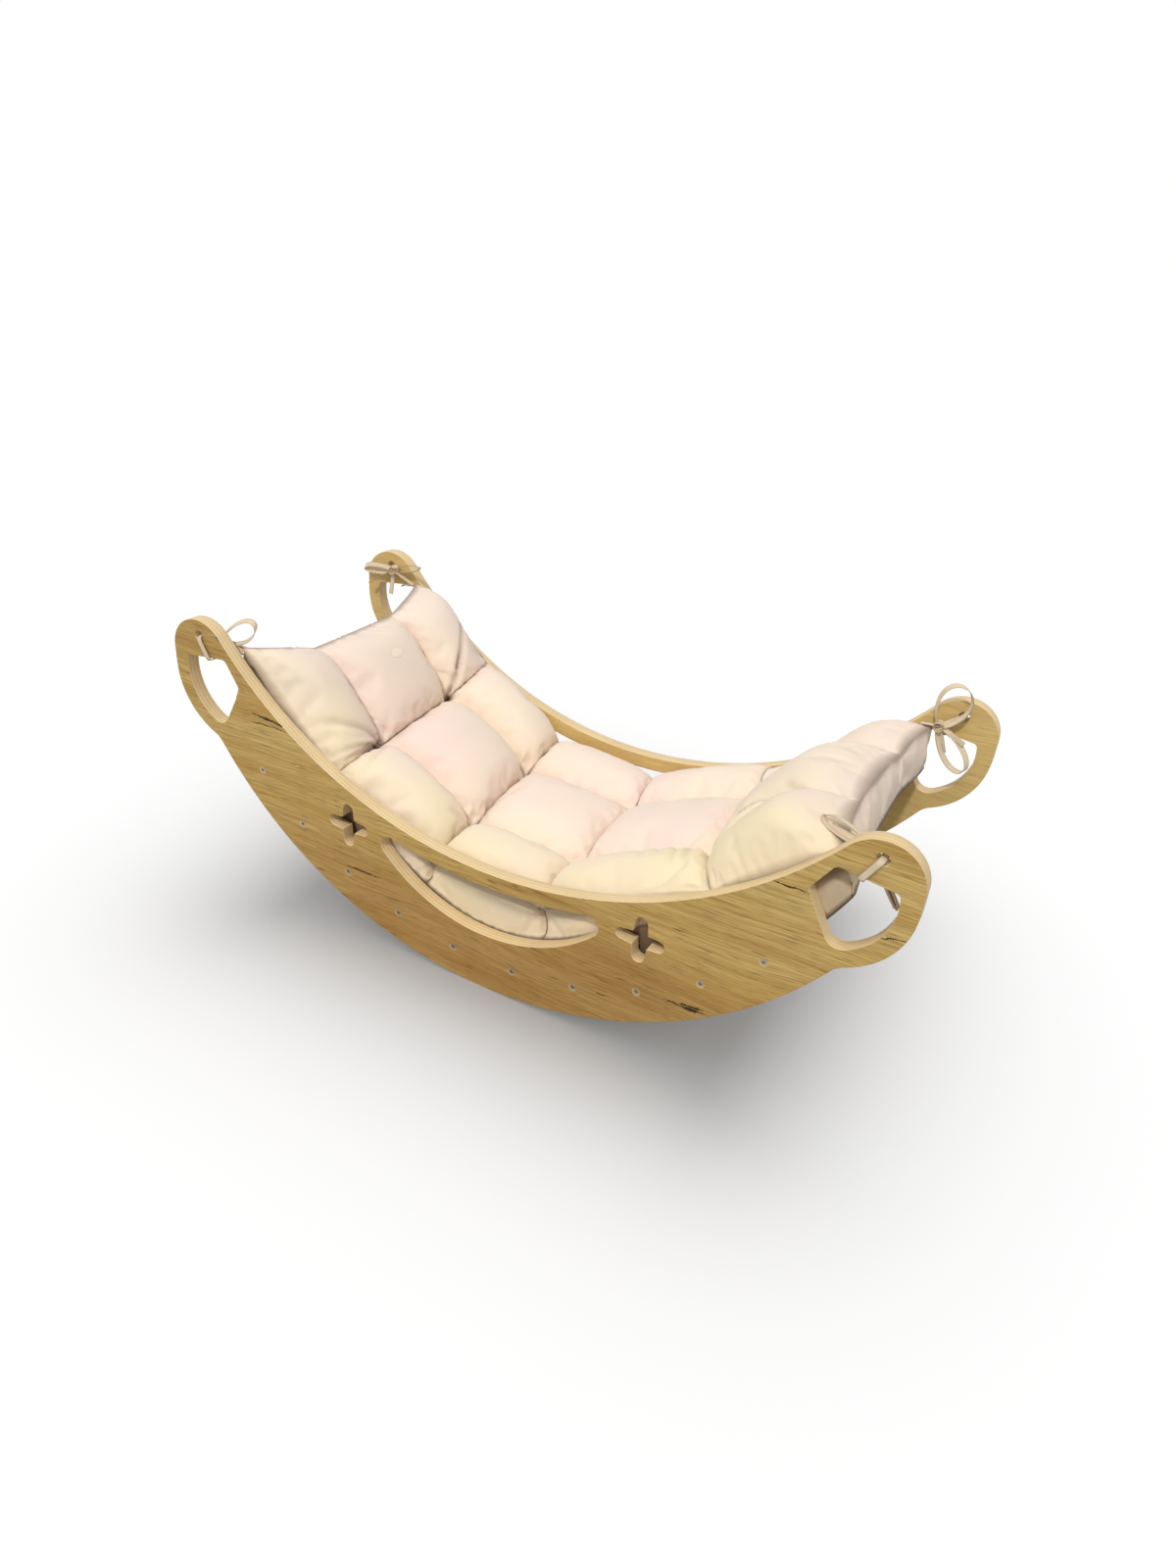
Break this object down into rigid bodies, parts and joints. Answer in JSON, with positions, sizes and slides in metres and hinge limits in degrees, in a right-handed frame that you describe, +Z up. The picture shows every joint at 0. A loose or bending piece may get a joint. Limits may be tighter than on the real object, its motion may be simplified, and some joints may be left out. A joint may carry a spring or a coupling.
{
  "type": "wooden rocker arch",
  "caption": "Low wooden rocking arch for a small child: two plywood side panels joined by round rungs, with a tufted cotton cushion tied to the four handles.",
  "frame": {"origin": "on the floor under the middle of the rocker, midway between the side panels", "axes": "+X along the rocker from the left handles to the right ones, +Y from the front panel to the rear one, +Z up"},
  "size_m": [0.956, 0.4064, 0.4008],
  "materials": {
    "oak_faced_plywood": "satin",
    "beech": "satin",
    "screw_steel": "satin",
    "cushion_cotton": "matte",
    "tie_tape": "matte"
  },
  "bodies": {
    "root": {"front_side_panel": "oak_faced_plywood", "rear_side_panel": "oak_faced_plywood", "rung_01": "beech", "rung_02": "beech", "rung_03": "beech", "rung_04": "beech", "rung_05": "beech", "rung_06": "beech", "rung_07": "beech", "rung_08": "beech", "rung_09": "beech", "rung_10": "beech", "front_rung_screws": "screw_steel", "rear_rung_screws": "screw_steel", "cushion": "cushion_cotton", "tie_front_left": "tie_tape", "tie_front_right": "tie_tape", "tie_rear_left": "tie_tape", "tie_rear_right": "tie_tape"}
  },
  "joints": []
}
